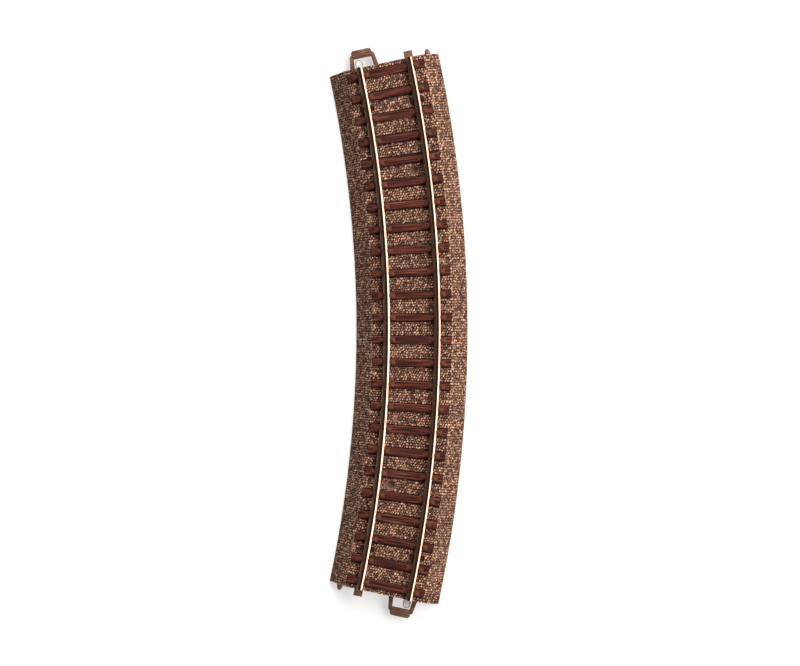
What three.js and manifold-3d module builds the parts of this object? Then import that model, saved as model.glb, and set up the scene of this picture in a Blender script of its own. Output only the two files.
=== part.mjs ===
// A curved H0 model track section: two metal rails on a hollow moulded ballast bed,
// with a snap loop, a tab, an alignment pin and two contact strips at each end.
//
// Frame: millimetres, +Z up. The origin is on the base plane under the middle of the track's
// centreline, +X points away from the centre of the curve and +Y runs along the track.
// Most pieces are shaped on straight track along +Y and then bent to the curve. The joint
// parts are placed in an end frame: +X to the right and +Y outwards, as seen looking out.

import * as THREE from 'three';
import { mergeVertices } from 'three/addons/utils/BufferGeometryUtils.js';
import Module from 'manifold-3d';

const wasm = await Module();
wasm.setup();

// ---- Driving dimensions ----

const CURVE_RADIUS = 437.5;
const SWEEP = THREE.MathUtils.degToRad(24.28);
const TRACK_LENGTH = CURVE_RADIUS * SWEEP;
const BEND_STEPS = 24;

const GAUGE = 16.5;
const HEAD_WIDTH = 1.0;
const RAIL_HEIGHT = 2.3;
const FOOT_WIDTH = 2.5;
const RAIL_OFFSET = (GAUGE + HEAD_WIDTH) / 2;

const BED_HALF_WIDTH = 19.4;
const SHOULDER = 13.9;
const EDGE_HEIGHT = 0.6;
const DECK_TOP = 7.5;
const WALL = 1.4;
const DECK_UNDERSIDE = DECK_TOP - WALL;
const RIB_COUNT = 5;
const RIB_THICKNESS = 1.6;

const SLEEPER_COUNT = 24;
const SLEEPER_LENGTH = 26.9;
const SLEEPER_WIDTH = 2.6;
const SLEEPER_HEIGHT = 0.5;
const FIRST_SLEEPER_FROM_END = 3.0;
const CHAIR = { length: 1.4, width: 1.5, height: 0.7, fromRail: 1.55 };

const SCREW_DIMPLE = { radius: 1.7, floorRadius: 1.3, depth: 0.8, offset: 4.0, gap: 5 };
const ROUND_SEGMENTS = 32;
const RAIL_SLOT = { inner: 1.25, outer: 2.4, length: 1.8, gap: 2 };

const LOOP = { offset: 6.85, rootHalf: 5.1, neckHalf: 4.3, barHalf: 3.6, tipHalf: 2.9, reach: 6.8 };
const LOOP_ARM = 1.7;
const LOOP_OPENING = 3.85;
const LOOP_NECK = 4.95;
const LOOP_ROOT = -4.4;
const LOOP_ROOT_BLOCK = 2.4;
const LOOP_BOTTOM = 1.3;
const LOOP_TOP = 3.1;
const LOOP_RIDGE_TOP = 3.5;

const TAB = { offset: 8.85, width: 3.0, reach: 2.5, root: 3.2, thickness: 1.4 };
const PIN = { offset: 15.6, height: 2.7, radius: 1.05, reach: 2.15, root: 2.6 };
const GATEWAY = { inner: 1.4, outer: 12.3, top: 4.9 };
const CATCH = { inner: 3.8, outer: 6.6, start: -3.4, end: -0.8, bottom: 2.1, ramp: 1.6, nose: 0.8 };
const STRIP = { thickness: 0.4, width: 2.4, tongueWidth: 2.7, lugWidth: 2.8, lugReach: 9, lugTop: 3.8 };
const STRIP_TOP = DECK_UNDERSIDE - 0.1;
const STRIP_BEND = -5.3;
const EAR_HEIGHT = 1.1;
const TONGUE_LEVEL = 3.75;
const TONGUE_SHIFT = 0.3;
const SPRING_LEVEL = 4.2;
const CLEARANCE = 0.3;
const OVERCUT = 1;

// ---- Materials ----

function plastic(color, roughness) {
  return new THREE.MeshStandardMaterial({ color, roughness, metalness: 0 });
}

function metal(color, roughness) {
  return new THREE.MeshStandardMaterial({ color, roughness, metalness: 1 });
}

const BALLAST_BROWN = plastic(0x73543f, 0.85);
const SLEEPER_BROWN = plastic(0x57302a, 0.6);
const JOINT_BROWN = plastic(0x62402f, 0.5);
const NICKEL_SILVER = metal(0xd8c8b8, 0.25);
const CONTACT_METAL = metal(0xcfc6b8, 0.3);

// ---- Solids and geometries ----

// A closed geometry as a solid for joining and cutting. The normals and uvs go, so that
// neighbouring faces share their vertices.
function toSolid(geometry) {
  const bare = geometry.clone();
  bare.deleteAttribute('normal');
  bare.deleteAttribute('uv');
  const merged = mergeVertices(bare, 1e-4);
  const vertProperties = new Float32Array(merged.attributes.position.array);
  const triVerts = new Uint32Array(merged.index.array);
  return new wasm.Manifold(new wasm.Mesh({ numProp: 3, vertProperties, triVerts }));
}

function toGeometry(solid) {
  const mesh = solid.getMesh();
  const geometry = new THREE.BufferGeometry();
  geometry.setAttribute('position', new THREE.BufferAttribute(mesh.vertProperties, 3));
  geometry.setIndex(new THREE.BufferAttribute(mesh.triVerts, 1));
  geometry.computeVertexNormals();
  return geometry;
}

function cut(geometry, cutters) {
  return toGeometry(cutters.reduce((solid, c) => solid.subtract(toSolid(c)), toSolid(geometry)));
}

function join(geometry, others) {
  return toGeometry(others.reduce((solid, o) => solid.add(toSolid(o)), toSolid(geometry)));
}

function box([x0, x1], [y0, y1], [z0, z1]) {
  const geometry = new THREE.BoxGeometry(x1 - x0, y1 - y0, z1 - z0);
  return geometry.translate((x0 + x1) / 2, (y0 + y1) / 2, (z0 + z1) / 2);
}

function outline(points) {
  return new THREE.Shape(points.map(([x, y]) => new THREE.Vector2(x, y)));
}

// A cross-section, given in X and Z, drawn out along +Y.
function alongTrack(points, [y0, y1], steps = 1) {
  const options = { depth: y1 - y0, steps, bevelEnabled: false };
  const geometry = new THREE.ExtrudeGeometry(outline(points), options);
  return geometry.rotateX(Math.PI / 2).translate(0, y1, 0);
}

// A side view, given in Y and Z, drawn out across X.
function acrossTrack(points, [x0, x1]) {
  const options = { depth: x1 - x0, bevelEnabled: false };
  const geometry = new THREE.ExtrudeGeometry(outline(points), options);
  return geometry.rotateX(Math.PI / 2).rotateZ(Math.PI / 2).translate(x0, 0, 0);
}

// A top view, given in X and Y, raised from z0 to z1.
function raised(shape, [z0, z1]) {
  const options = { depth: z1 - z0, bevelEnabled: false };
  return new THREE.ExtrudeGeometry(shape, options).translate(0, 0, z0);
}

// Bends a geometry shaped on straight track to the curve of the centreline.
function bend(geometry) {
  const position = geometry.attributes.position;
  for (let i = 0; i < position.count; i += 1) {
    const angle = position.getY(i) / CURVE_RADIUS;
    const radius = CURVE_RADIUS + position.getX(i);
    position.setX(i, radius * Math.cos(angle) - CURVE_RADIUS);
    position.setY(i, radius * Math.sin(angle));
  }
  return geometry;
}

function mirroredX(points) {
  return [...points, ...points.map(([x, y]) => [-x, y]).reverse()];
}

// ---- Frames along the track ----

// A group at a distance along the centreline, turned with the curve.
function trackFrame(along) {
  const angle = along / CURVE_RADIUS;
  const group = new THREE.Group();
  group.position.set(CURVE_RADIUS * (Math.cos(angle) - 1), CURVE_RADIUS * Math.sin(angle), 0);
  group.rotation.z = angle;
  group.updateMatrixWorld(true);
  return group;
}

// The frame of an end face: end a is at +Y, and end b is the same joint turned half round.
function endFrame(end) {
  const group = trackFrame(end === 'a' ? TRACK_LENGTH / 2 : -TRACK_LENGTH / 2);
  if (end === 'b') group.rotation.z += Math.PI;
  group.updateMatrixWorld(true);
  return group;
}

const END_FRAMES = { a: endFrame('a'), b: endFrame('b') };
const SLEEPER_PITCH = (TRACK_LENGTH - 2 * FIRST_SLEEPER_FROM_END) / (SLEEPER_COUNT - 1);

function sleeperPlace(index) {
  return TRACK_LENGTH / 2 - FIRST_SLEEPER_FROM_END - index * SLEEPER_PITCH;
}

// The middle of the gap after that many sleepers, counted from an end and measured from it.
function gapFromEnd(sleepers) {
  return FIRST_SLEEPER_FROM_END + (sleepers - 0.5) * SLEEPER_PITCH;
}

// ---- Roadbed ----

const BED_SECTION = [
  [-BED_HALF_WIDTH, 0],
  [BED_HALF_WIDTH, 0],
  [BED_HALF_WIDTH, EDGE_HEIGHT],
  [SHOULDER, DECK_TOP],
  [-SHOULDER, DECK_TOP],
  [-BED_HALF_WIDTH, EDGE_HEIGHT],
];

// The hollow's section, below the deck and inside the two sloping walls.
function hollowSection() {
  const slope = (BED_HALF_WIDTH - SHOULDER) / (DECK_TOP - EDGE_HEIGHT);
  const topHalf = SHOULDER - WALL + slope * WALL * 0.5;
  const bottomHalf = topHalf + slope * DECK_UNDERSIDE;
  return [
    [-bottomHalf, -OVERCUT],
    [bottomHalf, -OVERCUT],
    [bottomHalf, 0],
    [topHalf, DECK_UNDERSIDE],
    [-topHalf, DECK_UNDERSIDE],
    [-bottomHalf, 0],
  ];
}

// The bays between the end walls and the cross ribs, open underneath.
function bays() {
  const bayCount = RIB_COUNT + 1;
  const inside = TRACK_LENGTH - 2 * WALL - RIB_COUNT * RIB_THICKNESS;
  const bayLength = inside / bayCount;
  return Array.from({ length: bayCount }, (_, i) => {
    const start = -TRACK_LENGTH / 2 + WALL + i * (bayLength + RIB_THICKNESS);
    const steps = BEND_STEPS / bayCount;
    return bend(alongTrack(hollowSection(), [start, start + bayLength], steps));
  });
}

// What is cut from an end wall: a gateway on each side for this end's loop and the
// neighbour's, a notch for each tab and a hole for each pin.
function endWallCutters() {
  const through = [-WALL - OVERCUT, OVERCUT];
  const tabHalf = TAB.width / 2 + CLEARANCE;
  const sides = [-1, 1];
  return sides.flatMap((side) => {
    const gateway = [side * GATEWAY.inner, side * GATEWAY.outer].sort((p, q) => p - q);
    const tab = [side * TAB.offset - tabHalf, side * TAB.offset + tabHalf];
    const holeRadius = PIN.radius + CLEARANCE;
    const holeLength = PIN.root + CLEARANCE + OVERCUT;
    const hole = new THREE.CylinderGeometry(holeRadius, holeRadius, holeLength, ROUND_SEGMENTS);
    return [
      box(gateway, through, [-OVERCUT, GATEWAY.top]),
      box(tab, through, [GATEWAY.top - OVERCUT, DECK_UNDERSIDE]),
      hole.translate(side * PIN.offset, OVERCUT - holeLength / 2, PIN.height),
    ];
  });
}

// The catch that holds the neighbour's loop, with a ramp on its outer side.
function snapCatch() {
  const side = [
    [CATCH.start, DECK_UNDERSIDE + WALL / 2],
    [CATCH.start, CATCH.bottom],
    [CATCH.start + CATCH.nose, CATCH.bottom],
    [CATCH.end, CATCH.bottom + CATCH.ramp],
    [CATCH.end, DECK_UNDERSIDE + WALL / 2],
  ];
  return acrossTrack(side, [CATCH.inner, CATCH.outer]);
}

// The two blocks under the deck that this end's loop arms spring from.
function loopRootBlocks() {
  const front = LOOP_ROOT - CLEARANCE;
  const inner = LOOP.rootHalf - LOOP_ARM;
  return [-1, 1].map((side) => {
    const edges = [side * inner, side * LOOP.rootHalf].sort((p, q) => p - q);
    const across = edges.map((edge) => edge - LOOP.offset);
    const span = [front - LOOP_ROOT_BLOCK, front];
    return box(across, span, [LOOP_BOTTOM, DECK_UNDERSIDE + WALL / 2]);
  });
}

// Screw dimples are tapered blind holes, one near each end.
function screwDimple() {
  const { radius, floorRadius, depth, offset, gap } = SCREW_DIMPLE;
  const profile = [
    [0, -depth],
    [floorRadius, -depth],
    [radius, 0],
    [radius + 0.3, OVERCUT],
    [0, OVERCUT],
  ].map(([x, y]) => new THREE.Vector2(x, y));
  const turned = new THREE.LatheGeometry(profile, ROUND_SEGMENTS).rotateX(Math.PI / 2);
  return turned.translate(offset, -gapFromEnd(gap), DECK_TOP);
}

// Four narrow slots beside the rails, where the ears of the contact strips come up.
function railSlots() {
  const middle = -gapFromEnd(RAIL_SLOT.gap);
  const span = [middle - RAIL_SLOT.length / 2, middle + RAIL_SLOT.length / 2];
  return [-1, 1].flatMap((rail) =>
    [-1, 1].map((side) => {
      const centre = rail * RAIL_OFFSET;
      const edges = [side * RAIL_SLOT.inner, side * RAIL_SLOT.outer].sort((p, q) => p - q);
      const across = edges.map((edge) => centre + edge);
      return box(across, span, [DECK_UNDERSIDE - OVERCUT, DECK_TOP + OVERCUT]);
    }),
  );
}

function placedAtEnds(makeAll) {
  return Object.values(END_FRAMES).flatMap((frame) =>
    makeAll().map((geometry) => geometry.applyMatrix4(frame.matrixWorld)),
  );
}

// What is shaped on straight track behind an end face, brought to that end and bent.
function bentAtEnd(geometry, end) {
  if (end === 'b') geometry.rotateZ(Math.PI);
  return bend(geometry.translate(0, (end === 'a' ? TRACK_LENGTH : -TRACK_LENGTH) / 2, 0));
}

function roadbedGeometry() {
  const full = [-TRACK_LENGTH / 2, TRACK_LENGTH / 2];
  const block = bend(alongTrack(BED_SECTION, full, BEND_STEPS));
  const shell = cut(block, [...bays(), ...placedAtEnds(endWallCutters)]);
  const blocks = placedAtEnds(() => [snapCatch(), ...loopRootBlocks()]);
  const openings = Object.keys(END_FRAMES).flatMap((end) =>
    [screwDimple(), ...railSlots()].map((geometry) => bentAtEnd(geometry, end)),
  );
  return cut(join(shell, blocks), openings);
}

// ---- Sleepers ----

function sleeperGeometry() {
  const halfLength = SLEEPER_LENGTH / 2;
  const halfWidth = SLEEPER_WIDTH / 2;
  const top = SLEEPER_HEIGHT;
  const plank = box([-halfLength, halfLength], [-halfWidth, halfWidth], [0, top]);
  const sides = [-1, 1];
  const chairs = sides.flatMap((rail) =>
    sides.map((side) => {
      const near = rail * RAIL_OFFSET + side * CHAIR.fromRail;
      const across = [near, near + side * CHAIR.length].sort((p, q) => p - q);
      return box(across, [-CHAIR.width / 2, CHAIR.width / 2], [top / 2, top + CHAIR.height]);
    }),
  );
  return join(plank, chairs);
}

// ---- Rails ----

const RAIL_SECTION = mirroredX([
  [FOOT_WIDTH / 2, 0],
  [FOOT_WIDTH / 2, 0.25],
  [0.32, 0.55],
  [0.28, 1.4],
  [HEAD_WIDTH / 2, 1.6],
  [HEAD_WIDTH / 2, RAIL_HEIGHT - 0.12],
  [HEAD_WIDTH / 2 - 0.1, RAIL_HEIGHT],
]);

function railGeometry(offset) {
  const section = RAIL_SECTION.map(([x, z]) => [x + offset, z + DECK_TOP + SLEEPER_HEIGHT]);
  return bend(alongTrack(section, [-TRACK_LENGTH / 2, TRACK_LENGTH / 2], BEND_STEPS));
}

// ---- Joint parts, in the end frame ----

// The loop: two arms that converge on a chamfered crossbar, drawn about its own middle.
function loopGeometry() {
  const { rootHalf, neckHalf, barHalf, tipHalf, reach } = LOOP;
  const armInside = rootHalf - LOOP_ARM;
  const outer = mirroredX([
    [armInside, LOOP_ROOT],
    [rootHalf, LOOP_ROOT],
    [rootHalf, 0],
    [neckHalf, LOOP_NECK],
    [barHalf, LOOP_NECK + 0.35],
    [barHalf, reach - 0.7],
    [tipHalf, reach],
  ]);
  const insideHalf = armInside - 0.35;
  const notch = [
    [-armInside, LOOP_ROOT],
    [-armInside, 0],
    [-insideHalf, LOOP_OPENING],
    [insideHalf, LOOP_OPENING],
    [armInside, 0],
  ];
  const shape = outline([...notch, ...outer]);
  const ring = raised(shape, [LOOP_BOTTOM, LOOP_TOP]);
  const ridgeBack = LOOP_OPENING + 0.5;
  const ridge = acrossTrack(
    [
      [ridgeBack, LOOP_TOP - 0.2],
      [reach - 0.5, LOOP_TOP - 0.2],
      [reach - 1.1, LOOP_RIDGE_TOP],
      [ridgeBack, LOOP_RIDGE_TOP],
    ],
    [-tipHalf, tipHalf],
  );
  return join(ring, [ridge]).translate(-LOOP.offset, 0, 0);
}

function tabGeometry() {
  const { offset, width, reach, root, thickness } = TAB;
  const bottom = DECK_UNDERSIDE - thickness;
  const side = [
    [-root, bottom],
    [reach - 0.5, bottom],
    [reach, bottom + 0.4],
    [reach, DECK_UNDERSIDE - 0.2],
    [reach - 0.2, DECK_UNDERSIDE],
    [-root, DECK_UNDERSIDE],
  ];
  return acrossTrack(side, [offset - width / 2, offset + width / 2]);
}

// The pin: a round shank that tapers to a blunt tip.
function pinGeometry() {
  const { radius, reach, root, offset, height } = PIN;
  const profile = [
    [0, -root],
    [radius, -root],
    [radius, 0.4],
    [radius * 0.8, reach * 0.75],
    [radius * 0.45, reach],
    [0, reach],
  ].map(([x, y]) => new THREE.Vector2(x, y));
  return new THREE.LatheGeometry(profile, ROUND_SEGMENTS).translate(offset, 0, height);
}

// The inner part that both contact strips share: a run under the deck, two ears up through
// the slots beside the rail and a spade lug for a feed wire.
function stripTail(offset) {
  const { thickness: t, width, lugWidth, lugReach, lugTop } = STRIP;
  const under = STRIP_TOP;
  const earMiddle = -gapFromEnd(RAIL_SLOT.gap);
  const earHalf = RAIL_SLOT.length / 2 - CLEARANCE;
  const edges = [offset - width / 2, offset + width / 2];
  const run = box(edges, [earMiddle - 1.4, STRIP_BEND], [under - t, under]);
  const lug = [
    [earMiddle - 3.2, lugTop],
    [earMiddle - lugReach, lugTop],
    [earMiddle - lugReach, lugTop - t],
    [earMiddle - 3.0, lugTop - t],
    [earMiddle - 1.2, under - t],
    [earMiddle - 1.2, under],
  ];
  const drop = acrossTrack(lug, [offset - lugWidth / 2, offset + lugWidth / 2]);
  const span = [earMiddle - earHalf, earMiddle + earHalf];
  const earNear = RAIL_SLOT.inner + CLEARANCE;
  const bridge = box([offset - earNear - t, offset + earNear + t], span, [under - t, under]);
  const ears = [-1, 1].map((side) => {
    const across = [side * earNear, side * (earNear + t)].sort((p, q) => p - q);
    return box(across.map((x) => x + offset), span, [under - t, DECK_TOP + EAR_HEIGHT]);
  });
  return [run, drop, bridge, ...ears];
}

// The tongue reaches out inside this end's loop, under the inner-side rail's end.
function contactTongueGeometry() {
  const t = STRIP.thickness;
  const level = TONGUE_LEVEL;
  const offset = -RAIL_OFFSET;
  const under = STRIP_TOP;
  const tip = new THREE.Shape();
  const half = STRIP.tongueWidth / 2;
  tip.moveTo(offset + half * 0.75, -3);
  tip.lineTo(offset + half, 1.6);
  tip.absarc(offset, 1.9, half, 0, Math.PI, false);
  tip.lineTo(offset - half * 0.75, -3);
  tip.closePath();
  const tongue = new THREE.ExtrudeGeometry(tip, { depth: t, bevelEnabled: false, curveSegments: 8 });
  tongue.translate(TONGUE_SHIFT, 0, level);
  const rise = acrossTrack(
    [
      [-2.6, level],
      [-2.6, level + t],
      [-4.8, under],
      [-5.6, under],
      [-5.6, under - t],
      [-5.0, under - t],
      [-3.0, level],
    ],
    [offset - STRIP.width / 2, offset + STRIP.width / 2],
  );
  return join(tongue, [rise, ...stripTail(offset)]);
}

// The spring lies under the tab and presses down on the neighbour's tongue.
function contactSpringGeometry() {
  const t = STRIP.thickness;
  const level = SPRING_LEVEL;
  const offset = RAIL_OFFSET;
  const under = STRIP_TOP;
  const spring = acrossTrack(
    [
      [TAB.reach - 0.6, level + 0.1],
      [TAB.reach - 0.9, level + t],
      [-3.3, level + t],
      [-4.4, under],
      [-5.6, under],
      [-5.6, under - t],
      [-4.7, under - t],
      [-3.5, level],
      [TAB.reach - 1.0, level],
    ],
    [offset - STRIP.width / 2, offset + STRIP.width / 2],
  );
  return join(spring, stripTail(offset));
}

// ---- Assembly ----

const track = new THREE.Group();

function addPiece(parent, name, geometry, material) {
  const mesh = new THREE.Mesh(geometry, material);
  mesh.name = name;
  parent.add(mesh);
  return mesh;
}

addPiece(track, 'roadbed', roadbedGeometry(), BALLAST_BROWN);
addPiece(track, 'rail_inner', railGeometry(-RAIL_OFFSET), NICKEL_SILVER);
addPiece(track, 'rail_outer', railGeometry(RAIL_OFFSET), NICKEL_SILVER);

const sleeper = sleeperGeometry();
for (let i = 0; i < SLEEPER_COUNT; i += 1) {
  const place = trackFrame(sleeperPlace(i));
  place.position.z = DECK_TOP;
  const number = String(i + 1).padStart(2, '0');
  addPiece(place, `sleeper_${number}`, sleeper, SLEEPER_BROWN);
  track.add(place);
}

for (const [end, frame] of Object.entries(END_FRAMES)) {
  addPiece(frame, `snap_loop_${end}`, loopGeometry(), JOINT_BROWN);
  addPiece(frame, `joint_tab_${end}`, tabGeometry(), JOINT_BROWN);
  addPiece(frame, `alignment_pin_${end}`, pinGeometry(), JOINT_BROWN);
  const tongue = bentAtEnd(contactTongueGeometry(), end);
  const spring = bentAtEnd(contactSpringGeometry(), end);
  addPiece(track, `contact_tongue_${end}`, tongue, CONTACT_METAL);
  addPiece(track, `contact_spring_${end}`, spring, CONTACT_METAL);
  track.add(frame);
}

export default track;
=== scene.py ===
import math

import bmesh
import bpy
import numpy as np
from mathutils import Matrix, Vector


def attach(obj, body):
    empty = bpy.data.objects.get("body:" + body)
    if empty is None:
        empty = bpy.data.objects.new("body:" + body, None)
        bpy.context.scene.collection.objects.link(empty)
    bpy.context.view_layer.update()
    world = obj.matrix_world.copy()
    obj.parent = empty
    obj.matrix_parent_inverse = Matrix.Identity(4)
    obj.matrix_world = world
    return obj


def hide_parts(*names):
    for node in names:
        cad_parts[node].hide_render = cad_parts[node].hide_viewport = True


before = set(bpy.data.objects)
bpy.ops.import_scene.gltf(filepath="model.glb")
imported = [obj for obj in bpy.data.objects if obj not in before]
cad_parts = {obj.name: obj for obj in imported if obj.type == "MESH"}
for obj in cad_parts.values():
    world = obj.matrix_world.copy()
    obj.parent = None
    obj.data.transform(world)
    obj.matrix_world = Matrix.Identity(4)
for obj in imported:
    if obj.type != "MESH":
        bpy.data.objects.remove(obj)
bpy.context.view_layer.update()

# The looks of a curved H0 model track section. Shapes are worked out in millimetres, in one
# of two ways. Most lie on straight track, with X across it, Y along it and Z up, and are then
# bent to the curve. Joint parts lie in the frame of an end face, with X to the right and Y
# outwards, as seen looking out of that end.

# ---- Dimensions in millimetres ----

MM = 0.001
CURVE_RADIUS = 437.5
SWEEP = math.radians(24.28)
TRACK_LENGTH = CURVE_RADIUS * SWEEP
HALF_LENGTH = TRACK_LENGTH / 2

RAIL_OFFSET = 8.75
SHOULDER = 13.9
BED_HALF_WIDTH = 19.4
EDGE_HEIGHT = 0.6
DECK_TOP = 7.5
DECK_UNDERSIDE = 6.1
SLOPE = math.atan2(DECK_TOP - EDGE_HEIGHT, BED_HALF_WIDTH - SHOULDER)

SLEEPER_COUNT = 24
SLEEPER_LENGTH = 26.9
SLEEPER_WIDTH = 2.6
SLEEPER_HEIGHT = 0.5
FIRST_SLEEPER = 3.0
SLEEPER_PITCH = (TRACK_LENGTH - 2 * FIRST_SLEEPER) / (SLEEPER_COUNT - 1)

DIMPLE = {"offset": 4.0, "radius": 1.7, "gap": 5}
SLOT = {"inner": 1.25, "outer": 2.4, "length": 1.8, "gap": 2}
TAB = {"offset": 8.85, "width": 3.0, "reach": 2.5, "root": 3.2, "thickness": 1.4}
PIN = {"offset": 15.6, "height": 2.7, "radius": 1.05, "reach": 2.15, "root": 2.6}
LOOP_OFFSET = 6.85
LOOP_ROOT = -4.4
STRIP = {"thickness": 0.4, "width": 2.4, "tongue": 2.7}
LUG = {"width": 2.8, "reach": 9.0, "top": 3.8}
STRIP_TOP = DECK_UNDERSIDE - 0.1
TONGUE_LEVEL = 3.75
TONGUE_SHIFT = 0.3
SPRING_LEVEL = 4.2
EAR_TOP = DECK_TOP + 1.1

# ---- Ballast relief ----

STONE_PITCH = 0.86
RELIEF_DEPTH = 0.45
RELIEF_SKIN = 0.05
GRID_STEP = 0.306
GRID_OVERHANG = 1.5
SHOULDER_ROUNDING = 0.7
SHOULDER_DIP = 0.12
GROOVE = 0.3
PLAIN_LEVEL = 0.66
PLAIN_TINT = 0.3


# ---- Places ----


def bend(points):
    """Millimetre points on straight track, in the row frame in metres."""
    points = np.asarray(points, float)
    angle = points[:, 1] / CURVE_RADIUS
    radius = CURVE_RADIUS + points[:, 0]
    east = radius * np.cos(angle) - CURVE_RADIUS
    return np.column_stack((east, radius * np.sin(angle), points[:, 2])) * MM


def unbend(points):
    """The way back from the row frame in metres to straight track in millimetres."""
    points = np.asarray(points, float) / MM
    east = points[:, 0] + CURVE_RADIUS
    radius = np.hypot(east, points[:, 1])
    angle = np.arctan2(points[:, 1], east)
    return np.column_stack((radius - CURVE_RADIUS, angle * CURVE_RADIUS, points[:, 2]))


def track_matrix(along, height=0.0, turn=0.0):
    """The frame at a distance along the centreline, from millimetres to the row frame."""
    angle = along / CURVE_RADIUS
    x = CURVE_RADIUS * (math.cos(angle) - 1)
    y = CURVE_RADIUS * math.sin(angle)
    place = Matrix.Translation(Vector((x, y, height)) * MM)
    return place @ Matrix.Rotation(angle + turn, 4, "Z") @ Matrix.Scale(MM, 4)


def place_in_frame(end):
    """Puts a joint part where its straight end frame is."""
    return lambda points: transformed(points, END_FRAMES[end])


def place_bent(end):
    """Puts a part that follows the rails behind an end face, bent to the curve."""
    side = 1 if end == "a" else -1
    return lambda points: bend(points * (side, side, 1) + (0, side * HALF_LENGTH, 0))


END_FRAMES = {
    "a": track_matrix(HALF_LENGTH),
    "b": track_matrix(-HALF_LENGTH, turn=math.pi),
}


def sleeper_place(index):
    return HALF_LENGTH - FIRST_SLEEPER - index * SLEEPER_PITCH


def gap_from_end(sleepers):
    return FIRST_SLEEPER + (sleepers - 0.5) * SLEEPER_PITCH


# ---- Meshes ----

BEVEL_ANGLE = math.radians(25)


class Shape:
    """Closed shells gathered into one mesh, with an optional number for each vertex."""

    def __init__(self):
        self.verts = []
        self.faces = []
        self.marks = []
        self.count = 0

    def add(self, verts, faces, mark=0.0):
        verts = np.asarray(verts, float)
        self.verts.append(verts)
        self.faces.extend([tuple(i + self.count for i in face) for face in faces])
        self.marks.append(np.full(len(verts), mark))
        self.count += len(verts)

    def points(self):
        return np.vstack(self.verts)

    def mark(self):
        return np.concatenate(self.marks)


def transformed(points, matrix):
    matrix = np.array(matrix, float)
    return points @ matrix[:3, :3].T + matrix[:3, 3]


def from_bmesh(bm):
    bm.verts.index_update()
    verts = np.array([v.co for v in bm.verts], float)
    faces = [tuple(v.index for v in face.verts) for face in bm.faces]
    bm.free()
    return verts, faces


def solid_from_rings(rings, bevel=0.0, segments=2):
    """Joins rings of matching points into a closed solid and rounds its sharp edges."""
    bm = bmesh.new()
    made = [[bm.verts.new(point) for point in ring] for ring in rings]
    for low, high in zip(made, made[1:]):
        for i in range(len(low)):
            j = (i + 1) % len(low)
            bm.faces.new((low[i], low[j], high[j], high[i]))
    bm.faces.new(made[0][::-1])
    bm.faces.new(made[-1])
    bmesh.ops.recalc_face_normals(bm, faces=bm.faces)
    if bevel:
        sharp = [e for e in bm.edges if e.calc_face_angle(0.0) > BEVEL_ANGLE]
        bmesh.ops.bevel(
            bm, geom=sharp, offset=bevel, segments=segments, profile=0.6, affect="EDGES"
        )
    return from_bmesh(bm)


def prism(outline, low, high, bevel=0.0, segments=2):
    rings = [[(x, y, z) for x, y in outline] for z in (low, high)]
    return solid_from_rings(rings, bevel, segments)


def rounded_box(x_span, y_span, z_span, bevel):
    (x0, x1), (y0, y1) = sorted(x_span), sorted(y_span)
    outline = [(x0, y0), (x1, y0), (x1, y1), (x0, y1)]
    return prism(outline, min(z_span), max(z_span), bevel)


def about(middle, half):
    return middle - half, middle + half


def swept_across(side_view, x_span, bevel=0.0, segments=2):
    """A side view, in Y and Z, drawn out across X."""
    rings = [[(x, y, z) for y, z in side_view] for x in x_span]
    return solid_from_rings(rings, bevel, segments)


def turned_along_y(profile, steps=48):
    """A profile of radius and Y, turned about the Y axis, closed at both ends."""
    rings = []
    for radius, y in profile:
        angles = [2 * math.pi * i / steps for i in range(steps)]
        rings.append([(radius * math.cos(a), y, radius * math.sin(a)) for a in angles])
    return solid_from_rings(rings)


def make_object(name, verts, faces, materials, crease=38.0, attributes=None):
    mesh = bpy.data.meshes.new(name)
    mesh.from_pydata(verts.tolist(), [], faces)
    mesh.polygons.foreach_set("use_smooth", np.ones(len(mesh.polygons), bool))
    for label, values in (attributes or {}).items():
        kind = "FLOAT_VECTOR" if np.ndim(values) == 2 else "FLOAT"
        field = "vector" if np.ndim(values) == 2 else "value"
        layer = mesh.attributes.new(label, kind, "POINT")
        layer.data.foreach_set(field, np.asarray(values, np.float32).ravel())
    for material in materials:
        mesh.materials.append(material)
    mesh.validate()
    mesh.set_sharp_from_angle(angle=math.radians(crease))
    made = bpy.data.objects.new(name, mesh)
    bpy.context.scene.collection.objects.link(made)
    return made


def add_piece(name, shape, place, material, body, nodes, seed=0.0, crease=38.0):
    """A piece from a shape in millimetres, with the coordinates its texture follows."""
    local = shape.points()
    offset = np.array([seed * 3.7, seed * 5.3, seed * 7.9])
    attributes = {"local": local + offset, "mark": shape.mark()}
    made = make_object(
        name, place(local), shape.faces, [material], crease=crease, attributes=attributes
    )
    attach(made, body)
    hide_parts(*nodes)
    return made


# ---- Materials ----


def add_node(tree, kind, inputs=None, **settings):
    made = tree.nodes.new(kind)
    for key, value in settings.items():
        setattr(made, key, value)
    for socket, value in (inputs or {}).items():
        if isinstance(value, bpy.types.NodeSocket):
            tree.links.new(value, made.inputs[socket])
        else:
            made.inputs[socket].default_value = value
    return made


def new_material(name, **constants):
    material = bpy.data.materials.new(name)
    material.use_nodes = True
    shader = material.node_tree.nodes["Principled BSDF"]
    for socket, value in constants.items():
        shader.inputs[socket.replace("_", " ")].default_value = value
    return material, material.node_tree, shader


def linear(red, green, blue):
    """A colour given in 0 to 255 display values, as scene linear."""
    parts = [c / 255 for c in (red, green, blue)]
    return [c / 12.92 if c <= 0.04045 else ((c + 0.055) / 1.055) ** 2.4 for c in parts] + [1]


def grey(value):
    return [value, value, value, 1]


def attribute(tree, name, output="Fac"):
    return add_node(tree, "ShaderNodeAttribute", attribute_name=name).outputs[output]


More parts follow.
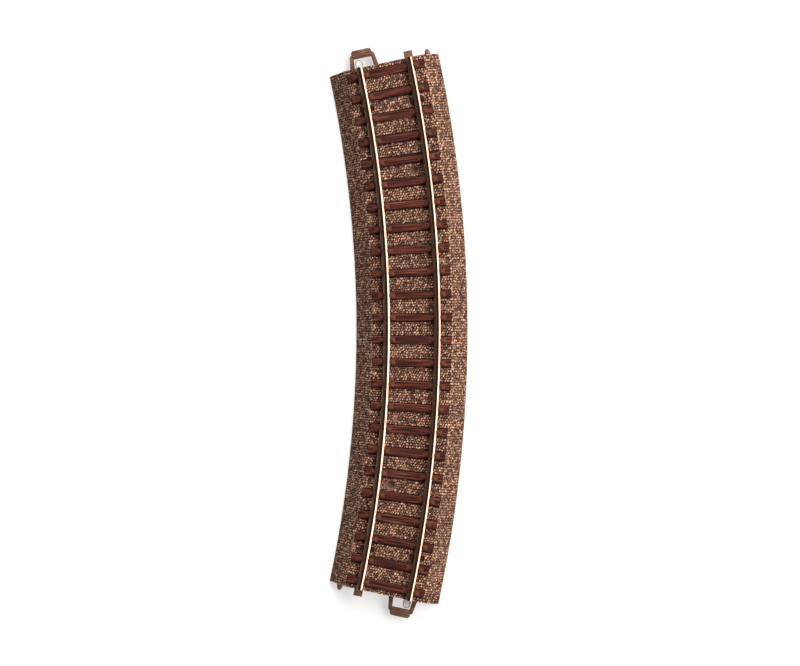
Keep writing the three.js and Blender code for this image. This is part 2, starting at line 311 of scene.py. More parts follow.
def ramp(tree, factor, stops):
    made = add_node(tree, "ShaderNodeValToRGB", {"Fac": factor})
    elements = made.color_ramp.elements
    while len(elements) < len(stops):
        elements.new(0.5)
    for element, (position, color) in zip(elements, stops):
        element.position = position
        element.color = color
    return made.outputs["Color"]


def vector_math(tree, operation, *vectors):
    inputs = dict(enumerate(vectors))
    made = add_node(tree, "ShaderNodeVectorMath", inputs, operation=operation)
    return made.outputs["Value" if operation == "LENGTH" else "Vector"]


def stretched(tree, scale):
    """The piece's own millimetre coordinates, scaled along each axis."""
    place = attribute(tree, "local", "Vector")
    return vector_math(tree, "MULTIPLY", place, scale)


def noise(tree, vector, scale, detail=4.0, roughness=0.55, distortion=0.0):
    inputs = {
        "Vector": vector,
        "Scale": scale,
        "Detail": detail,
        "Roughness": roughness,
        "Distortion": distortion,
    }
    return add_node(tree, "ShaderNodeTexNoise", inputs).outputs["Fac"]


def spread(tree, value, low, high, start=0.0, end=1.0):
    inputs = {"Value": value, "From Min": start, "From Max": end, "To Min": low, "To Max": high}
    return add_node(tree, "ShaderNodeMapRange", inputs).outputs["Result"]


def mixed(tree, factor, first, second, blend="MIX"):
    made = add_node(tree, "ShaderNodeMix", data_type="RGBA", blend_type=blend)
    for index, value in ((0, factor), (6, first), (7, second)):
        if isinstance(value, bpy.types.NodeSocket):
            tree.links.new(value, made.inputs[index])
        else:
            made.inputs[index].default_value = value
    return made.outputs[2]


def shaded(tree, color, factor, stops, strength=1.0):
    """A colour multiplied by greys picked from a ramp of positions and levels."""
    greys = ramp(tree, factor, [(position, grey(level)) for position, level in stops])
    return mixed(tree, strength, color, greys, "MULTIPLY")


def calculated(tree, operation, first, second=0.0):
    made = add_node(tree, "ShaderNodeMath", {0: first, 1: second}, operation=operation)
    return made.outputs["Value"]


def bumped(tree, height, strength, distance):
    inputs = {"Height": height, "Strength": strength, "Distance": distance}
    return add_node(tree, "ShaderNodeBump", inputs).outputs["Normal"]


def ballast_material():
    material, tree, shader = new_material("ballast_stones", Specular_IOR_Level=0.3)
    relief = attribute(tree, "relief")
    tint = attribute(tree, "stone")
    place = stretched(tree, (1, 1, 1))
    speckle = noise(tree, place, 5.0, detail=3.0)
    patches = noise(tree, place, 0.11, detail=3.0)
    level = calculated(tree, "ADD", relief, spread(tree, speckle, -0.16, 0.16, 0.25, 0.75))
    # Colour by stone height. The light tops are partly the printed ballast colour over dark
    # plastic and partly painted highlight. The near-black in the gaps is painted shade.
    print_gap_shade_and_highlight = [
        (0.00, linear(12, 4, 2)),
        (0.34, linear(32, 13, 8)),
        (0.58, linear(90, 56, 42)),
        (0.80, linear(178, 131, 104)),
        (0.98, linear(250, 203, 170)),
    ]
    color = ramp(tree, level, print_gap_shade_and_highlight)
    tints = [(0.0, (0.80, 0.74, 0.70, 1)), (0.5, grey(1.0)), (1.0, (1.16, 1.15, 1.12, 1))]
    color = mixed(tree, 1.0, color, ramp(tree, tint, tints), "MULTIPLY")
    color = shaded(tree, color, patches, [(0.3, 0.88), (0.7, 1.1)])
    tree.links.new(color, shader.inputs["Base Color"])
    tree.links.new(spread(tree, speckle, 0.62, 0.86), shader.inputs["Roughness"])
    tree.links.new(bumped(tree, speckle, 0.35, 0.00012), shader.inputs["Normal"])
    return material


def bed_material():
    material, tree, shader = new_material("bed_moulding", Specular_IOR_Level=0.4)
    place = stretched(tree, (1, 1, 1))
    fine = noise(tree, place, 3.0, detail=5.0)
    broad = noise(tree, place, 0.12, detail=2.0)
    color = ramp(tree, fine, [(0.3, linear(70, 44, 33)), (0.7, linear(92, 61, 47))])
    color = shaded(tree, color, broad, [(0.3, 0.85), (0.7, 1.1)])
    tree.links.new(color, shader.inputs["Base Color"])
    tree.links.new(spread(tree, fine, 0.45, 0.65), shader.inputs["Roughness"])
    tree.links.new(bumped(tree, fine, 0.2, 0.00006), shader.inputs["Normal"])
    return material


def sleeper_material():
    material, tree, shader = new_material("sleeper_grain_and_groove_shade", Specular_IOR_Level=0.2)
    along = noise(tree, stretched(tree, (0.07, 2.3, 1.0)), 1.0, detail=4.0, roughness=0.5)
    fine = noise(tree, stretched(tree, (0.3, 7.0, 3.0)), 1.0, detail=3.0)
    broad = noise(tree, stretched(tree, (0.12, 0.3, 0.3)), 1.0, detail=2.0)
    height = attribute(tree, "relief")
    grain = [
        (0.34, linear(58, 20, 13)),
        (0.46, linear(78, 32, 22)),
        (0.56, linear(104, 48, 34)),
        (0.70, linear(140, 84, 66)),
    ]
    color = ramp(tree, along, grain)
    # The raised fastenings are painted lighter than the plank, a painted highlight.
    chair_highlight = attribute(tree, "mark")
    color = mixed(tree, spread(tree, chair_highlight, 0.0, 0.55), color, linear(122, 77, 58))
    color = shaded(tree, color, fine, [(0.3, 0.7), (0.7, 1.2)], 0.75)
    # Painted shade from the relief levels: darker in the grain grooves and down the plank's
    # sides, lighter on the top.
    color = shaded(tree, color, height, [(0.0, 0.30), (0.5, 0.85), (1.0, 1.2)])
    color = shaded(tree, color, broad, [(0.3, 0.86), (0.7, 1.12)])
    tree.links.new(color, shader.inputs["Base Color"])
    tree.links.new(spread(tree, fine, 0.42, 0.68), shader.inputs["Roughness"])
    tree.links.new(bumped(tree, fine, 0.3, 0.00006), shader.inputs["Normal"])
    return material


def joint_material():
    material, tree, shader = new_material("joint_plastic_satin")
    place = stretched(tree, (1, 1, 1))
    fine = noise(tree, place, 4.5, detail=5.0)
    flow = noise(tree, stretched(tree, (0.5, 2.2, 1.0)), 0.6, detail=3.0, distortion=0.4)
    color = ramp(tree, flow, [(0.3, linear(96, 62, 46)), (0.7, linear(148, 105, 80))])
    color = shaded(tree, color, fine, [(0.3, 0.82), (0.7, 1.12)], 0.7)
    tree.links.new(color, shader.inputs["Base Color"])
    tree.links.new(spread(tree, fine, 0.36, 0.56), shader.inputs["Roughness"])
    tree.links.new(bumped(tree, fine, 0.18, 0.00005), shader.inputs["Normal"])
    return material


def rail_material():
    material, tree, shader = new_material("rail_nickel_silver", Metallic=1.0)
    drawn = noise(tree, stretched(tree, (7.0, 0.012, 7.0)), 1.0, detail=3.0)
    tarnish = noise(tree, stretched(tree, (0.5, 0.09, 0.5)), 1.0, detail=4.0)
    foot = attribute(tree, "foot")
    head = ramp(tree, drawn, [(0.3, linear(196, 176, 160)), (0.7, linear(220, 202, 186))])
    flange = ramp(tree, drawn, [(0.3, linear(202, 163, 140)), (0.7, linear(220, 181, 158))])
    color = mixed(tree, foot, head, flange)
    dulled = spread(tree, tarnish, 0.0, 0.4, 0.45, 0.75)
    color = mixed(tree, dulled, color, linear(184, 146, 122))
    tree.links.new(color, shader.inputs["Base Color"])
    streaks = spread(tree, drawn, -0.03, 0.04)
    satin = spread(tree, foot, 0.11, 0.3)
    tree.links.new(calculated(tree, "ADD", satin, streaks), shader.inputs["Roughness"])
    tree.links.new(bumped(tree, drawn, 0.08, 0.00002), shader.inputs["Normal"])
    return material


def contact_material():
    material, tree, shader = new_material("contact_spring_metal", Metallic=1.0)
    rolled = noise(tree, stretched(tree, (6.0, 0.3, 6.0)), 1.0, detail=4.0)
    smudge = noise(tree, stretched(tree, (0.6, 0.6, 0.6)), 1.0, detail=3.0)
    color = ramp(tree, rolled, [(0.3, linear(246, 245, 242)), (0.7, linear(254, 253, 251))])
    # Painted shade: the marked saddle and ears go dark brown like the shaded slots they sit in,
    # and the tongue's rim goes part way as a dark outline.
    color = mixed(tree, attribute(tree, "mark"), color, linear(104, 74, 56))
    tree.links.new(color, shader.inputs["Base Color"])
    tree.links.new(spread(tree, smudge, 0.74, 0.88), shader.inputs["Roughness"])
    tree.links.new(bumped(tree, rolled, 0.1, 0.00003), shader.inputs["Normal"])
    return material


BALLAST = ballast_material()
BED = bed_material()
SLEEPER = sleeper_material()
JOINT = joint_material()
RAIL = rail_material()
CONTACT = contact_material()


# ---- Roadbed with stone relief ----


def smooth_step(value, low, high):
    t = np.clip((value - low) / (high - low), 0, 1)
    return t * t * (3 - 2 * t)


STONE_CELLS = (72, 236)
stone_random = np.random.default_rng(20)
STONE_X = stone_random.uniform(0.24, 0.76, STONE_CELLS)
STONE_Y = stone_random.uniform(0.24, 0.76, STONE_CELLS)
STONE_HEIGHT = stone_random.uniform(0.68, 1.08, STONE_CELLS)
STONE_TILT_X = stone_random.uniform(-0.45, 0.45, STONE_CELLS)
STONE_TILT_Y = stone_random.uniform(-0.45, 0.45, STONE_CELLS)
STONE_TINT = stone_random.uniform(0.0, 1.0, STONE_CELLS)
STONE_SIZE = stone_random.uniform(0.0, 0.12, STONE_CELLS)


def stone_relief(across, along):
    """Height from 0 in the gaps to 1 on the stone tops, and each stone's own tint."""
    u = across / STONE_PITCH + STONE_CELLS[0] / 2
    v = along / STONE_PITCH + STONE_CELLS[1] / 2
    cell_u = np.floor(u).astype(int)
    cell_v = np.floor(v).astype(int)
    nearest = np.full(u.shape, 9.0)
    second = np.full(u.shape, 9.0)
    height = np.zeros(u.shape)
    tint = np.zeros(u.shape)
    for du in (-2, -1, 0, 1, 2):
        for dv in (-2, -1, 0, 1, 2):
            i = np.clip(cell_u + du, 0, STONE_CELLS[0] - 1)
            j = np.clip(cell_v + dv, 0, STONE_CELLS[1] - 1)
            stagger = 0.5 * ((cell_v + dv) % 2) - 0.25
            from_x = u - (cell_u + du + STONE_X[i, j] + stagger)
            from_y = v - (cell_v + dv + STONE_Y[i, j])
            distance = np.hypot(from_x, from_y) - STONE_SIZE[i, j]
            closer = distance < nearest
            second = np.where(closer, nearest, np.minimum(second, distance))
            nearest = np.where(closer, distance, nearest)
            top = STONE_HEIGHT[i, j] + STONE_TILT_X[i, j] * from_x + STONE_TILT_Y[i, j] * from_y
            height = np.where(closer, top, height)
            tint = np.where(closer, STONE_TINT[i, j], tint)
    rim = np.clip((second - nearest) / 0.5, 0, 1) ** 0.75
    return np.clip(height * (0.08 + 0.92 * rim), 0, 1), tint


def near_end(along):
    return HALF_LENGTH - np.abs(along)


def plain_share(across, along):
    """1 where the deck is plain plastic round a dimple, a slot or a tab, otherwise 0."""
    from_end = near_end(along)
    side = np.where(along > 0, across, -across)
    reach = np.hypot(side - DIMPLE["offset"], from_end - gap_from_end(DIMPLE["gap"]))
    plain = 1 - smooth_step(reach - DIMPLE["radius"], 0.05, 0.25)
    slot_y = np.abs(from_end - gap_from_end(SLOT["gap"])) - SLOT["length"] / 2
    middle = (SLOT["inner"] + SLOT["outer"]) / 2
    half_slot = (SLOT["outer"] - SLOT["inner"]) / 2
    for rail in (-RAIL_OFFSET, RAIL_OFFSET):
        slot_x = np.abs(np.abs(across - rail) - middle) - half_slot
        outside = np.maximum(slot_x, slot_y)
        plain = np.maximum(plain, 1 - smooth_step(outside, 0.15, 0.35))
    tab_x = np.abs(side - TAB["offset"]) - TAB["width"] / 2
    outside = np.maximum(tab_x, from_end - 1.3)
    plain = np.maximum(plain, 1 - smooth_step(outside, 0.05, 0.3))
    return plain


def sleeper_share(across, along):
    """1 in the groove round each sleeper and under it, otherwise 0."""
    nearest = np.round((sleeper_place(0) - along) / SLEEPER_PITCH)
    middle = sleeper_place(np.clip(nearest, 0, SLEEPER_COUNT - 1))
    beside = np.abs(along - middle) - SLEEPER_WIDTH / 2
    beyond = np.abs(across) - SLEEPER_LENGTH / 2
    return 1 - smooth_step(np.maximum(beside, beyond), 0.0, GROOVE)


def relief_height(across, along):
    """The relief from 0 to 1 with its plain patches and grooves, and the stone tints."""
    stones, tint = stone_relief(across, along)
    plain = plain_share(across, along)
    height = stones * (1 - plain) + PLAIN_LEVEL * plain
    tint = tint * (1 - plain) + PLAIN_TINT * plain
    # The groove round each sleeper takes the darkest ballast colour, a painted shadow round the
    # sleeper.
    groove = sleeper_share(across, along)
    return height * (1 - groove), tint


def relief_block():
    """A closed block whose top is the stone relief, on or just under the CAD surface."""
    reach = SHOULDER + (BED_HALF_WIDTH + GRID_OVERHANG - SHOULDER) / math.cos(SLOPE)
    columns = int(round(2 * reach / GRID_STEP)) + 1
    half_rows = HALF_LENGTH + GRID_OVERHANG
    rows = int(round(2 * half_rows / GRID_STEP)) + 1
    t = np.linspace(-reach, reach, columns)
    y = np.linspace(-half_rows, half_rows, rows)
    across, along = np.meshgrid(t, y, indexing="ij")
    height, _ = relief_height(across, along)
    depth = RELIEF_SKIN + RELIEF_DEPTH * (1 - height)
    past_shoulder = np.abs(across) - SHOULDER
    beyond = np.maximum(past_shoulder, 0)
    lean = SLOPE * smooth_step(past_shoulder, -SHOULDER_ROUNDING, SHOULDER_ROUNDING)
    depth = depth + SHOULDER_DIP * np.exp(-((past_shoulder / SHOULDER_ROUNDING) ** 2))
    x = np.minimum(np.abs(across), SHOULDER) + beyond * math.cos(SLOPE) - depth * np.sin(lean)
    x = x * np.sign(across)
    z = DECK_TOP - beyond * math.sin(SLOPE) - depth * np.cos(lean)
    top = np.stack((x, along, z), axis=-1)
    verts = top.reshape(-1, 3)
    index = np.arange(columns * rows).reshape(columns, rows)
    quads = np.stack((index[:-1, :-1], index[1:, :-1], index[1:, 1:], index[:-1, 1:]), axis=-1)
    faces = quads.reshape(-1, 4).tolist()
    rim = np.concatenate((index[:, 0], index[-1, 1:], index[-2::-1, -1], index[0, -2:0:-1]))
    floor = verts[rim].copy()
    floor[:, 2] = -6.0
    low = np.arange(len(rim)) + len(verts)
    for i in range(len(rim)):
        j = (i + 1) % len(rim)
        faces.append([int(rim[j]), int(rim[i]), int(low[i]), int(low[j])])
    faces.append([int(i) for i in low[::-1]])
    return np.vstack((verts, floor)), faces


def bent_millimetres(points):
    return bend(points) / MM


def roadbed_piece():
    block_verts, block_faces = relief_block()
    block = make_object("relief_block", bent_millimetres(block_verts), block_faces, [])
    body = bpy.data.objects.new("roadbed_relief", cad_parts["roadbed"].data.copy())
    bpy.context.scene.collection.objects.link(body)
    bm = bmesh.new()
    bm.from_mesh(body.data)
    bmesh.ops.scale(bm, vec=(1 / MM,) * 3, verts=bm.verts)
    bmesh.ops.remove_doubles(bm, verts=bm.verts, dist=1e-3)
    bm.to_mesh(body.data)
    bm.free()
    body.data.materials.clear()
    cutter = body.modifiers.new("relief", "BOOLEAN")
    cutter.operation = "INTERSECT"
    cutter.solver = "MANIFOLD"
    cutter.object = block
    bpy.context.view_layer.update()
    graph = bpy.context.evaluated_depsgraph_get()
    result = bpy.data.meshes.new_from_object(body.evaluated_get(graph))
    body.modifiers.clear()
    body.data = result
    bpy.data.objects.remove(block)
    result.transform(Matrix.Scale(MM, 4))
    finish_roadbed(body)
    return body


def finish_roadbed(body):
    mesh = body.data
    mesh.name = "roadbed_relief"
    verts = np.zeros(len(mesh.vertices) * 3)
    mesh.vertices.foreach_get("co", verts)
    straight = unbend(verts.reshape(-1, 3))
    half = np.abs(straight[:, 0])
    beyond = half - SHOULDER
    down = DECK_TOP - straight[:, 2]
    along_slope = beyond * math.cos(SLOPE) + down * math.sin(SLOPE)
    on_slope = (beyond > down * math.tan(SLOPE / 2) - 0.3) & (along_slope > 0)
    across = np.where(on_slope, SHOULDER + along_slope, half) * np.sign(straight[:, 0])
    height, tint = relief_height(across, straight[:, 1])
    for label, values in (("relief", height), ("stone", tint)):
        layer = mesh.attributes.new(label, "FLOAT", "POINT")
        layer.data.foreach_set("value", values.astype(np.float32))
    layer = mesh.attributes.new("local", "FLOAT_VECTOR", "POINT")
    layer.data.foreach_set("vector", straight.astype(np.float32).ravel())
    count = len(mesh.polygons)
    normals = np.zeros(count * 3)
    centres = np.zeros(count * 3)
    mesh.polygons.foreach_get("normal", normals)
    mesh.polygons.foreach_get("center", centres)
    normals = normals.reshape(-1, 3)
    middles = unbend(centres.reshape(-1, 3))
    down = DECK_TOP - middles[:, 2]
    beyond = np.abs(middles[:, 0]) - SHOULDER
    depth = np.minimum(down, down * math.cos(SLOPE) - beyond * math.sin(SLOPE))
    flat_end = np.abs(near_end(middles[:, 1])) < 0.02
    outer = (depth < RELIEF_SKIN + RELIEF_DEPTH + 0.16) & (normals[:, 2] > 0.02) & ~flat_end
    mesh.materials.clear()
    mesh.materials.append(BALLAST)
    mesh.materials.append(BED)
    mesh.polygons.foreach_set("material_index", np.where(outer, 0, 1).astype(np.int32))
    mesh.polygons.foreach_set("use_smooth", np.ones(count, bool))
    mesh.set_sharp_from_angle(angle=math.radians(50))


roadbed = roadbed_piece()
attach(roadbed, "track_bed")
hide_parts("roadbed")

# ---- Sleepers ----


def value_noise(u, v, table):
    """Smooth noise from a table of random numbers, from 0 to 1."""
    rows, columns = table.shape
    i, j = np.floor(u).astype(int), np.floor(v).astype(int)
    s = smooth_step(u - i, 0, 1)
    t = smooth_step(v - j, 0, 1)

    def at(di, dj):
        return table[(i + di) % rows, (j + dj) % columns]

    low = at(0, 0) * (1 - s) + at(1, 0) * s
    high = at(0, 1) * (1 - s) + at(1, 1) * s
    return low * (1 - t) + high * t


def chair_shape():
    """The rail fastening on one side: a plate, a clip over the rail's foot and a bolt."""
    shape = Shape()
    shape.add(*rounded_box((1.0, 3.0), (-0.86, 0.86), (0.3, 0.66), 0.08), mark=1.0)
    clip = [(0.9, 0.55), (2.45, 0.55), (2.45, 0.86), (2.2, 1.04), (1.5, 1.04), (0.9, 0.86)]
    rings = [[(x, y, z) for x, z in clip] for y in (-0.5, 0.5)]
    shape.add(*solid_from_rings(rings, 0.09, 2), mark=1.0)
    bolt = []
    for radius, z in ((0.36, 0.6), (0.36, 1.12), (0.27, 1.2)):
        turns = [math.pi * i / 3 for i in range(6)]
        bolt.append([(1.86 + radius * math.cos(a), radius * math.sin(a), z) for a in turns])
    shape.add(*solid_from_rings(bolt, 0.04, 1), mark=1.0)
    for y in (-0.72, 0.72):
        rib = rounded_box((1.3, 2.85), (y - 0.13, y + 0.13), (0.5, 0.84), 0.06)
        shape.add(*rib, mark=1.0)
    return shape


def plank(seed):
    """A sleeper's plank with grooves of wood grain along its rounded top."""
    random = np.random.default_rng(seed)
    table = random.uniform(0, 1, (64, 64))
    half_length, half_width = SLEEPER_LENGTH / 2, SLEEPER_WIDTH / 2
    edge = 0.2
    inner = np.linspace(-half_width + edge, half_width - edge, 27)
    stations = [0, 0.1]
    stations += list(np.linspace(0.35, SLEEPER_LENGTH - 0.35, 62))
    stations += [SLEEPER_LENGTH - 0.1, SLEEPER_LENGTH]
    rings = []
    groove_and_side_shade = []
    for distance in stations:
        x = distance - half_length
        at_end = min(distance, SLEEPER_LENGTH - distance) < 0.05
        drop = 0.12 if at_end else 0.0
        narrow = 0.08 if at_end else 0.0
        u = inner / 0.25 + 20
        v = np.full(u.shape, x / 7.5 + 10)
        coarse = value_noise(u, v, table)
        fine = value_noise(u * 0.45 + 7, v * 1.9 + 3, table)
        dent = np.clip(1.5 * coarse + 0.5 * fine - 0.55, 0, 1)
        depth = 0.13 * dent
        scale = (half_width - narrow) / half_width
        side = half_width * scale
        low = [(x, -side, -0.45), (x, -side, SLEEPER_HEIGHT - edge - drop)]
        top = [(x, b * scale, SLEEPER_HEIGHT - d - drop) for b, d in zip(inner, depth)]
        high = [(x, side, SLEEPER_HEIGHT - edge - drop), (x, side, -0.45)]
        rings.append(low + top + high)
        # Colour levels for painted shade: 0.4 at the foot of each side, lower in the grain
        # grooves, 1 on the top.
        groove_and_side_shade.extend([0.4, 1.0] + list(1 - dent) + [1.0, 0.4])
    count = len(rings[0])
    verts = np.array([point for ring in rings for point in ring])
    faces = []
    last = (len(rings) - 1) * count
    for start in range(0, last, count):
        for i in range(count):
            j = (i + 1) % count
            faces.append((start + j, start + i, start + count + i, start + count + j))
    faces.append(tuple(range(count)))
    faces.append(tuple(last + i for i in reversed(range(count))))
    return verts, faces, np.array(groove_and_side_shade)


def sleeper_shape(seed, chair):
    shape = Shape()
    verts, faces, relief = plank(seed)
    shape.add(verts, faces)
    for rail in (-1, 1):
        for side in (-1, 1):
            place = chair.points() * (side, 1, 1) + (rail * RAIL_OFFSET, 0, 0)
            faces = [face[::side] for face in chair.faces]
            shape.add(place, faces, mark=1.0)
    relief = np.concatenate((relief, np.full(shape.count - len(relief), 0.75)))
    return shape, relief


CHAIR = chair_shape()
for number in range(1, SLEEPER_COUNT + 1):
    matrix = track_matrix(sleeper_place(number - 1), height=DECK_TOP)
    shape, relief = sleeper_shape(100 + number, CHAIR)
    piece = add_piece(
        f"sleeper_{number:02d}_moulding",
        shape,
        lambda points, m=matrix: transformed(points, m),
        SLEEPER,
        "track_bed",
        [f"sleeper_{number:02d}"],
        seed=number,
        crease=32.0,
    )
    layer = piece.data.attributes.new("relief", "FLOAT", "POINT")
    layer.data.foreach_set("value", relief.astype(np.float32))

# ---- Rails ----

RAIL_BASE = DECK_TOP + SLEEPER_HEIGHT
RAIL_HEIGHT = 2.3
HALF_RAIL = [
    (0.98, 0.0),
    (1.05, 0.06),
    (1.05, 0.20),
    (0.99, 0.27),
    (0.46, 0.49),
    (0.37, 0.58),
    (0.30, 0.74),
    (0.28, 1.26),
    (0.32, 1.40),
    (0.46, 1.52),
    (0.50, 1.62),
    (0.50, 2.17),
    (0.48, 2.26),
    (0.42, RAIL_HEIGHT),
]


def rail_shape(offset):
    section = HALF_RAIL + [(-x, z) for x, z in reversed(HALF_RAIL)]
    stations = [-HALF_LENGTH, -HALF_LENGTH + 0.06]
    stations += list(np.linspace(-HALF_LENGTH, HALF_LENGTH, 122)[1:-1])
    stations += [HALF_LENGTH - 0.06, HALF_LENGTH]
    middle = RAIL_HEIGHT / 2
    base = RAIL_BASE + middle
    rings = []
    for y in stations:
        k = 0.95 if HALF_LENGTH - abs(y) < 0.01 else 1.0
        rings.append([(offset + x * k, y, base + (z - middle) * k) for x, z in section])
    shape = Shape()
    shape.add(*solid_from_rings(rings))
    return shape


for name, offset in (("rail_inner", -RAIL_OFFSET), ("rail_outer", RAIL_OFFSET)):
    shape = rail_shape(offset)
    rail = add_piece(
        name + "_drawn",
        shape,
        bend,
        RAIL,
        "track_bed",
        [name],
        seed=1 if offset < 0 else 2,
        crease=20.0,
    )
    height = shape.points()[:, 2] - RAIL_BASE
    layer = rail.data.attributes.new("foot", "FLOAT", "POINT")
    layer.data.foreach_set("value", (1 - smooth_step(height, 0.6, 1.3)).astype(np.float32))

# ---- Joint parts ----


def loop_shape():
    """Two tapering arms that meet in a ridged crossbar, about the loop's own middle."""
    shape = Shape()
    for side in (-1, 1):
        arm = [(3.4, LOOP_ROOT), (5.1, LOOP_ROOT), (5.1, 0.0), (4.9, 1.4), (4.3, 4.95)]
        arm += [(3.7, 5.3), (2.9, 4.9), (3.05, 3.85), (3.4, 0.0)]
        outline = [(side * x, y) for x, y in arm]
        if side < 0:
            outline.reverse()
        shape.add(*prism(outline, 1.3, 3.1, 0.16, 3))
    bar = [(-3.6, 4.4), (-3.0, 3.85), (3.0, 3.85), (3.6, 4.4)]
    bar += [(3.6, 6.1), (2.9, 6.8), (-2.9, 6.8), (-3.6, 6.1)]
    shape.add(*prism(bar, 1.32, 3.05, 0.16, 3))
    for y, half, top in ((4.62, 3.35, 3.42), (5.42, 3.3, 3.5), (6.2, 2.95, 3.3)):
        ridge = [(-0.36, 2.9), (0.36, 2.9), (0.36, top - 0.16)]
        ridge += [(0.18, top), (-0.18, top), (-0.36, top - 0.16)]
        side_view = [(y + from_middle, z) for from_middle, z in ridge]
        shape.add(*swept_across(side_view, (-half, half), 0.07))
    seam = [(3.9, 2.95), (6.7, 2.95), (6.6, 3.5), (4.3, 3.53)]
    shape.add(*swept_across(seam, (-0.07, 0.07), 0.03, 1))
    moved = Shape()
    moved.add(shape.points() - np.array([LOOP_OFFSET, 0, 0]), shape.faces)
    return moved


def tab_shape():
    bottom = DECK_UNDERSIDE - TAB["thickness"]
    side_view = [
        (-TAB["root"], bottom),
        (TAB["reach"] - 0.5, bottom),
        (TAB["reach"], bottom + 0.4),
        (TAB["reach"], DECK_UNDERSIDE - 0.2),
        (TAB["reach"] - 0.2, DECK_UNDERSIDE),
        (-TAB["root"], DECK_UNDERSIDE),
    ]
    shape = Shape()
    shape.add(*swept_across(side_view, about(TAB["offset"], TAB["width"] / 2), 0.12, 3))
    return shape


def pin_shape():
    radius, root = PIN["radius"], -PIN["root"]
    profile = [(radius - 0.15, root), (radius, root + 0.15), (radius, 0.3), (1.0, 0.75)]
    profile += [(0.88, 1.25), (0.74, 1.65), (0.55, 1.95), (0.3, 2.1), (0.08, PIN["reach"])]
    shape = Shape()
    verts, faces = turned_along_y(profile)
    shape.add(verts + np.array([PIN["offset"], 0, PIN["height"]]), faces)
    return shape


def strip_tail(shape, offset):
    """The part both strips share: run, spade lug, and a saddle with two ears by the rail."""
    t = STRIP["thickness"]
    thick = (STRIP_TOP - t, STRIP_TOP)
    middle = -gap_from_end(SLOT["gap"])
    run = about(offset, STRIP["width"] / 2)
    shape.add(*rounded_box(run, (middle - 1.4, -5.3), thick, 0.05))
    lug = [
        (middle - 3.2, LUG["top"]),
        (middle - LUG["reach"], LUG["top"]),
        (middle - LUG["reach"], LUG["top"] - t),
        (middle - 3.0, LUG["top"] - t),
        (middle - 1.2, STRIP_TOP - t),
        (middle - 1.2, STRIP_TOP),
    ]
    shape.add(*swept_across(lug, about(offset, LUG["width"] / 2), 0.06))
    saddle = about(offset, SLOT["outer"] + 0.15)
    saddle_span = about(middle, SLOT["length"] / 2 + 0.15)
    # The saddle and the two ears are marked to be painted dark brown, painted shade for the
    # slots they sit in.
    shape.add(*rounded_box(saddle, saddle_span, thick, 0.05), mark=1.0)
    near = SLOT["inner"] + 0.3
    ear_span = about(middle, SLOT["length"] / 2 - 0.3)
    for side in (-1, 1):
        ear = (offset + side * near, offset + side * (near + t))
        shape.add(*rounded_box(ear, ear_span, (STRIP_TOP - t, EAR_TOP), 0.07), mark=1.0)


def tongue_arc(radius, count):
    """The half round at the tongue's end, from its right-hand side to its left."""
    turns = np.linspace(0, math.pi, count)
    return [(radius * math.cos(a), 1.9 + radius * math.sin(a)) for a in turns]


def tongue_shape():
    """A flat tongue that flares to a rounded end with a rolled rim, and its tail."""
    t = STRIP["thickness"]
    offset = -RAIL_OFFSET
    half = STRIP["tongue"] / 2
    level = TONGUE_LEVEL
    plan = [(0.75 * half, -3.0), (half, 1.6)]
    plan += tongue_arc(half, 25)
    plan += [(-half, 1.6), (-0.75 * half, -3.0)]
    plan = [(x + offset + TONGUE_SHIFT, y) for x, y in plan]
    shape = Shape()
    shape.add(*prism(plan, level, level + t, 0.09, 3))
    inset = 0.86 * half
    path = [(inset, 0.6)] + tongue_arc(inset, 21) + [(-inset, 0.6)]
    rim_half = 0.11
    outer, inner = [], []
    for k, (x, y) in enumerate(path):
        before, after = path[max(k - 1, 0)], path[min(k + 1, len(path) - 1)]
        dx, dy = after[0] - before[0], after[1] - before[1]
        size = math.hypot(dx, dy)
        nx, ny = dy / size, -dx / size
        middle = x + offset + TONGUE_SHIFT
        outer.append((middle + nx * rim_half, y + ny * rim_half))
        inner.append((middle - nx * rim_half, y - ny * rim_half))
    rim = outer + inner[::-1]
    # The rim is marked to be painted part way to dark brown, a painted shadow outline round the
    # tongue.
    shape.add(*prism(rim, level + t - 0.1, level + t + 0.12, 0.05, 2), mark=0.6)
    rise = [(-2.6, level), (-2.6, level + t), (-4.8, STRIP_TOP), (-5.6, STRIP_TOP)]
    rise += [(-5.6, STRIP_TOP - t), (-5.0, STRIP_TOP - t), (-3.0, level)]
    shape.add(*swept_across(rise, about(offset, STRIP["width"] / 2), 0.06))
    strip_tail(shape, offset)
    return shape


def spring_shape():
    t = STRIP["thickness"]
    offset = RAIL_OFFSET
    level = SPRING_LEVEL
    reach = TAB["reach"]
    side_view = [
        (reach - 0.6, level + 0.1),
        (reach - 0.9, level + t),
        (-3.3, level + t),
        (-4.4, STRIP_TOP),
        (-5.6, STRIP_TOP),
        (-5.6, STRIP_TOP - t),
        (-4.7, STRIP_TOP - t),
        (-3.5, level),
        (reach - 1.0, level),
    ]
    shape = Shape()
    shape.add(*swept_across(side_view, about(offset, STRIP["width"] / 2), 0.06))
    strip_tail(shape, offset)
    return shape


JOINT_PARTS = [
    ("snap_loop", "_moulding", loop_shape, place_in_frame, JOINT, "joint_plastic"),
    ("joint_tab", "_moulding", tab_shape, place_in_frame, JOINT, "joint_plastic"),
    ("alignment_pin", "_moulding", pin_shape, place_in_frame, JOINT, "joint_plastic"),
    ("contact_tongue", "_stamping", tongue_shape, place_bent, CONTACT, "contact_metal"),
    ("contact_spring", "_stamping", spring_shape, place_bent, CONTACT, "contact_metal"),
]
for end in END_FRAMES:
    for part, ending, make_shape, place, material, slot in JOINT_PARTS:
        add_piece(
            f"{part}_{end}{ending}",
            make_shape(),
            place(end),
            material,
            f"loop_{end}" if part == "snap_loop" else "track_bed",
            [f"{part}_{end}"],
            seed=30 if end == "a" else 41,
        )

# ---- Floor, light and camera ----


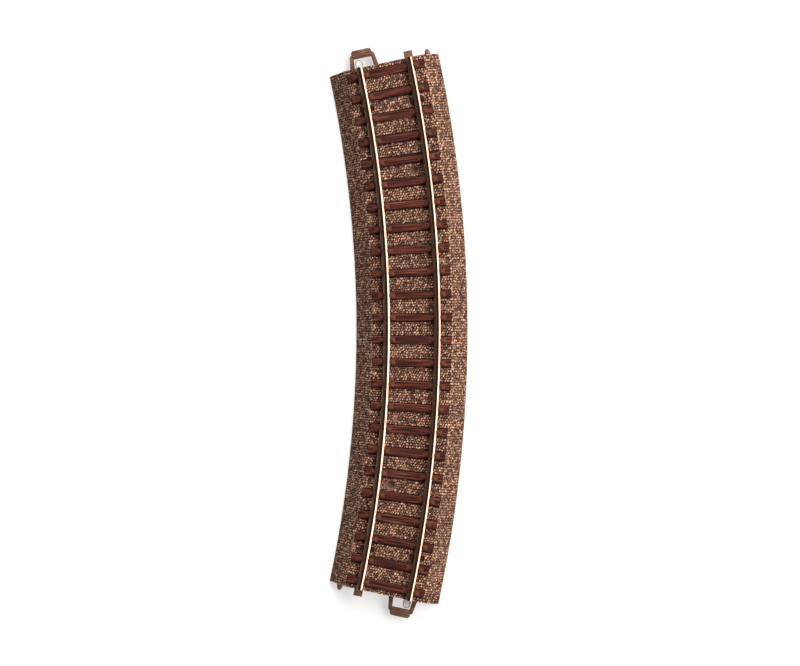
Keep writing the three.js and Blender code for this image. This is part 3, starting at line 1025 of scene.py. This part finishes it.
def floor():
    """A pale floor with a faint glow that keeps shadows soft, but none under the hollow bed."""
    material, tree, shader = new_material("pale_floor", Roughness=0.9)
    shader.inputs["Base Color"].default_value = (0.6, 0.6, 0.6, 1)
    shader.inputs["Emission Color"].default_value = (1, 1, 1, 1)
    place = add_node(tree, "ShaderNodeNewGeometry").outputs["Position"]
    radius = CURVE_RADIUS * MM
    from_centre = vector_math(tree, "ADD", place, (radius, 0, 0))
    parts = add_node(tree, "ShaderNodeSeparateXYZ", {"Vector": from_centre})
    reach = vector_math(tree, "LENGTH", from_centre)
    across = calculated(tree, "ABSOLUTE", calculated(tree, "SUBTRACT", reach, radius))
    bearing = calculated(tree, "ARCTAN2", parts.outputs["Y"], parts.outputs["X"])
    turned = calculated(tree, "ABSOLUTE", bearing)
    glow = 0.55
    edge = BED_HALF_WIDTH * MM
    end = SWEEP / 2
    beside = spread(tree, across, 0.0, glow, edge - 0.004, edge - 0.001)
    beyond = spread(tree, turned, 0.0, glow, end - 0.008, end - 0.001)
    strength = calculated(tree, "MAXIMUM", beside, beyond)
    tree.links.new(strength, shader.inputs["Emission Strength"])
    size = 3.0
    verts = np.array([(-size, -size, 0), (size, -size, 0), (size, size, 0), (-size, size, 0)])
    made = make_object("floor", verts, [(0, 1, 2, 3)], [material])
    made.location.z = -0.00002


def softbox(name, azimuth, elevation, distance, size, power, color=(1, 1, 1)):
    """An area light that faces the middle of the track; azimuth 0 is +X and 90 is +Y."""
    data = bpy.data.lights.new(name, "AREA")
    data.shape = "RECTANGLE"
    data.size, data.size_y = size
    data.energy = power
    data.color = color
    made = bpy.data.objects.new(name, data)
    bpy.context.scene.collection.objects.link(made)
    a, e = math.radians(azimuth), math.radians(elevation)
    toward = Vector((math.cos(a) * math.cos(e), math.sin(a) * math.cos(e), math.sin(e)))
    made.location = toward * distance
    made.rotation_euler = toward.to_track_quat("Z", "Y").to_euler()


def studio_world():
    """Dim overhead, paler towards the horizon and brighter on the side of the key light."""
    world = bpy.data.worlds.new("studio")
    bpy.context.scene.world = world
    world.use_nodes = True
    tree = world.node_tree
    direction = add_node(tree, "ShaderNodeTexCoord").outputs["Generated"]
    parts = add_node(tree, "ShaderNodeSeparateXYZ", {"Vector": direction})
    levels = [
        (0.0, grey(0.78)),
        (0.3, grey(0.55)),
        (0.62, (0.07, 0.052, 0.045, 1)),
        (1.0, (0.055, 0.025, 0.015, 1)),
    ]
    color = ramp(tree, parts.outputs["Z"], levels)
    side = spread(tree, parts.outputs["X"], 0.6, 1.3, -1.0, 1.0)
    tree.links.new(color, tree.nodes["Background"].inputs["Color"])
    tree.links.new(side, tree.nodes["Background"].inputs["Strength"])


def camera():
    data = bpy.data.cameras.new("camera")
    data.sensor_width = 36
    data.lens = 99
    data.clip_start = 0.01
    data.clip_end = 20
    made = bpy.data.objects.new("camera", data)
    bpy.context.scene.collection.objects.link(made)
    made.location = (-0.00421, -0.00146, 0.768)
    bpy.context.scene.camera = made


floor()
softbox("key", 20, 50, 1.8, (3.0, 0.95), 42, (1.0, 0.99, 0.97))
softbox("top_fill", 96, 30, 1.8, (1.4, 0.7), 16)
studio_world()
camera()
bpy.context.scene.view_settings.view_transform = "Standard"
